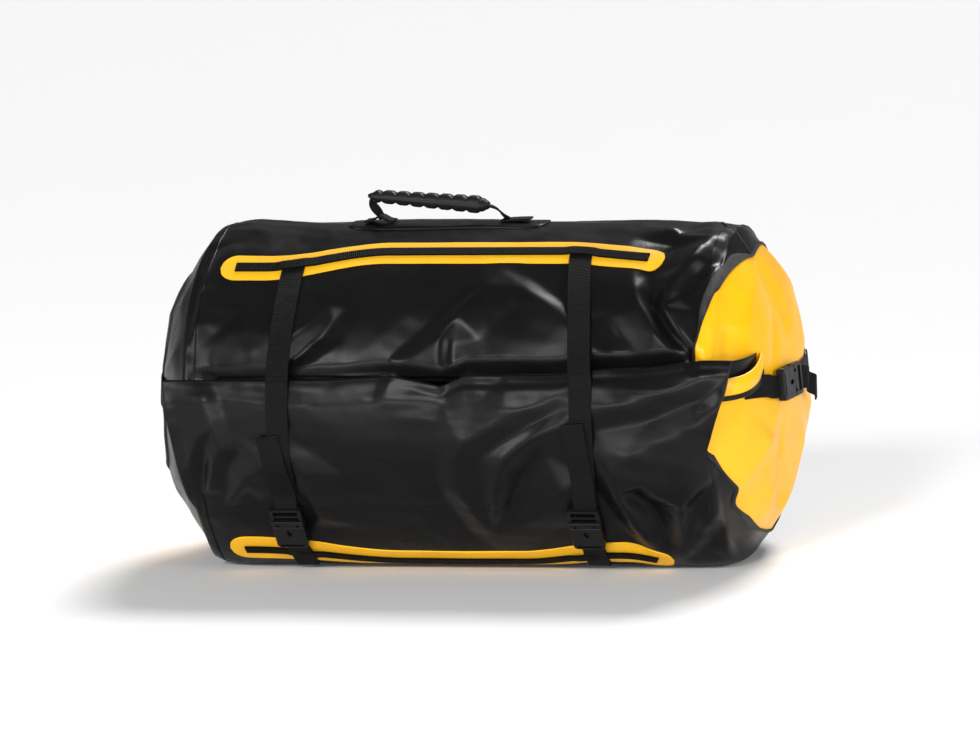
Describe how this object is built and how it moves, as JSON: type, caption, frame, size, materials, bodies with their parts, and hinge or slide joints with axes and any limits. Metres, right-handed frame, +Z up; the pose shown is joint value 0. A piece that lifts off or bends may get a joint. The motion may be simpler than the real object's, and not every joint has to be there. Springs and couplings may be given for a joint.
{
  "type": "compression sack",
  "caption": "Waterproof duffel-style compression sack with a roll-down side mouth, strap and end buckles, lash rails and a moulded carry handle.",
  "frame": {"origin": "on the ground under the middle of the sack as it lies on its side", "axes": "+Z up, +X along the tube, -Y out of the mouth and its rolled closure"},
  "size_m": [0.708, 0.3809, 0.3913],
  "materials": {
    "tarpaulin_black": "satin PVC-coated woven cloth",
    "tarpaulin_yellow": "satin PVC-coated woven cloth",
    "yellow_strip": "matte PVC-coated woven cloth",
    "scrim_tape": "coated cloth that shows its weave",
    "webbing": "ribbed polypropylene webbing",
    "grip": "moulded, satin",
    "buckle": "moulded acetal, satin",
    "stiffener": "flat plastic strip"
  },
  "bodies": {
    "root": {"tube_skin": "tarpaulin_black", "mouth_hem": "tarpaulin_black", "lash_strip_upper": "yellow_strip", "lash_strip_lower": "yellow_strip", "lash_rail_upper": "webbing", "lash_rail_lower": "webbing", "handle_patch": "tarpaulin_black", "handle_anchor_left": "webbing", "handle_anchor_right": "webbing", "end_disc_left": "tarpaulin_yellow", "end_margin_left": "tarpaulin_black", "seam_tape_left": "scrim_tape", "disc_seam_left": "scrim_tape", "closure_end_tab_left": "webbing", "end_strap_left": "webbing", "end_patch_left": "tarpaulin_black", "end_socket_left": "buckle", "compression_strap_left": "webbing", "strap_tail_left": "webbing", "lower_web_left": "webbing", "strap_socket_left": "buckle", "end_disc_right": "tarpaulin_yellow", "end_margin_right": "tarpaulin_black", "seam_tape_right": "scrim_tape", "disc_seam_right": "scrim_tape", "closure_end_tab_right": "webbing", "end_strap_right": "webbing", "end_patch_right": "tarpaulin_black", "end_socket_right": "buckle", "compression_strap_right": "webbing", "strap_tail_right": "webbing", "lower_web_right": "webbing", "strap_socket_right": "buckle"},
    "closure": {"closure_flap": "tarpaulin_black", "closure_roll": "tarpaulin_black", "roll_stiffener_inner": "stiffener", "roll_stiffener_outer": "stiffener"},
    "handle": {"handle_web": "webbing", "handle_grip": "grip"},
    "strap_buckle_left": {"strap_plug_left": "buckle"},
    "strap_prong_a_left": {"strap_prong_a_left": "buckle"},
    "strap_prong_b_left": {"strap_prong_b_left": "buckle"},
    "strap_buckle_right": {"strap_plug_right": "buckle"},
    "strap_prong_a_right": {"strap_prong_a_right": "buckle"},
    "strap_prong_b_right": {"strap_prong_b_right": "buckle"},
    "end_buckle_right": {"end_plug_right": "buckle", "end_strap_tail_right": "webbing"},
    "end_prong_a_right": {"end_prong_a_right": "buckle"},
    "end_prong_b_right": {"end_prong_b_right": "buckle"},
    "end_buckle_left": {"end_plug_left": "buckle", "end_strap_tail_left": "webbing"},
    "end_prong_a_left": {"end_prong_a_left": "buckle"},
    "end_prong_b_left": {"end_prong_b_left": "buckle"}
  },
  "joints": [
    {"name": "closure_open", "type": "hinge", "parent": "root", "child": "closure", "pos_m": [0, -0.17585, 0.11486], "axis": [1, 0, 0], "range_deg": [0, 80], "deforming": ["compression_strap_left", "strap_tail_left", "closure_end_tab_left", "compression_strap_right", "strap_tail_right", "closure_end_tab_right"]},
    {"name": "handle_fold", "type": "hinge", "parent": "root", "child": "handle", "pos_m": [0, 0, 0.3625], "axis": [1, 0, 0], "range_deg": [-70, 70]},
    {"name": "strap_buckle_left_release", "type": "slide", "parent": "root", "child": "strap_buckle_left", "axis": [0, -0.6088, 0.7934], "range_m": [0, 0.026]},
    {"name": "strap_prong_a_left_squeeze", "type": "hinge", "parent": "strap_buckle_left", "child": "strap_prong_a_left", "pos_m": [-0.1695, -0.152, 0.05864], "axis": [0, 0.7934, 0.6088], "range_deg": [0, 7], "stiffness_Nm_per_rad": 0.3},
    {"name": "strap_prong_b_left_squeeze", "type": "hinge", "parent": "strap_buckle_left", "child": "strap_prong_b_left", "pos_m": [-0.1905, -0.152, 0.05864], "axis": [0, -0.7934, -0.6088], "range_deg": [0, 7], "stiffness_Nm_per_rad": 0.3},
    {"name": "strap_buckle_right_release", "type": "slide", "parent": "root", "child": "strap_buckle_right", "axis": [0, -0.6088, 0.7934], "range_m": [0, 0.026]},
    {"name": "strap_prong_a_right_squeeze", "type": "hinge", "parent": "strap_buckle_right", "child": "strap_prong_a_right", "pos_m": [0.1505, -0.152, 0.05864], "axis": [0, 0.7934, 0.6088], "range_deg": [0, 7], "stiffness_Nm_per_rad": 0.3},
    {"name": "strap_prong_b_right_squeeze", "type": "hinge", "parent": "strap_buckle_right", "child": "strap_prong_b_right", "pos_m": [0.1295, -0.152, 0.05864], "axis": [0, -0.7934, -0.6088], "range_deg": [0, 7], "stiffness_Nm_per_rad": 0.3},
    {"name": "end_buckle_right_release", "type": "slide", "parent": "root", "child": "end_buckle_right", "axis": [0.1629, 0.9866, 0.0117], "range_m": [0, 0.026]},
    {"name": "end_prong_a_right_squeeze", "type": "hinge", "parent": "end_buckle_right", "child": "end_prong_a_right", "pos_m": [0.34377, -0.04866, 0.18368], "axis": [-0.984, 0.1633, -0.0705], "range_deg": [0, 7], "stiffness_Nm_per_rad": 0.3},
    {"name": "end_prong_b_right_squeeze", "type": "hinge", "parent": "end_buckle_right", "child": "end_prong_b_right", "pos_m": [0.34227, -0.04866, 0.20463], "axis": [0.984, -0.1633, 0.0705], "range_deg": [0, 7], "stiffness_Nm_per_rad": 0.3},
    {"name": "end_buckle_left_release", "type": "slide", "parent": "root", "child": "end_buckle_left", "axis": [0.1663, 0.986, -0.0119], "range_m": [0, 0.026]},
    {"name": "end_prong_a_left_squeeze", "type": "hinge", "parent": "end_buckle_left", "child": "end_prong_a_left", "pos_m": [-0.34274, 0.05487, 0.18361], "axis": [-0.9835, 0.1668, 0.0705], "range_deg": [0, 7], "stiffness_Nm_per_rad": 0.3},
    {"name": "end_prong_b_left_squeeze", "type": "hinge", "parent": "end_buckle_left", "child": "end_prong_b_left", "pos_m": [-0.34123, 0.05487, 0.20455], "axis": [0.9835, -0.1668, -0.0705], "range_deg": [0, 7], "stiffness_Nm_per_rad": 0.3}
  ],
  "couplings": [
    {"joint": "strap_prong_b_left_squeeze", "follows": "strap_prong_a_left_squeeze", "ratio": 1},
    {"joint": "strap_prong_b_right_squeeze", "follows": "strap_prong_a_right_squeeze", "ratio": 1},
    {"joint": "end_prong_b_right_squeeze", "follows": "end_prong_a_right_squeeze", "ratio": 1},
    {"joint": "end_prong_b_left_squeeze", "follows": "end_prong_a_left_squeeze", "ratio": 1}
  ]
}
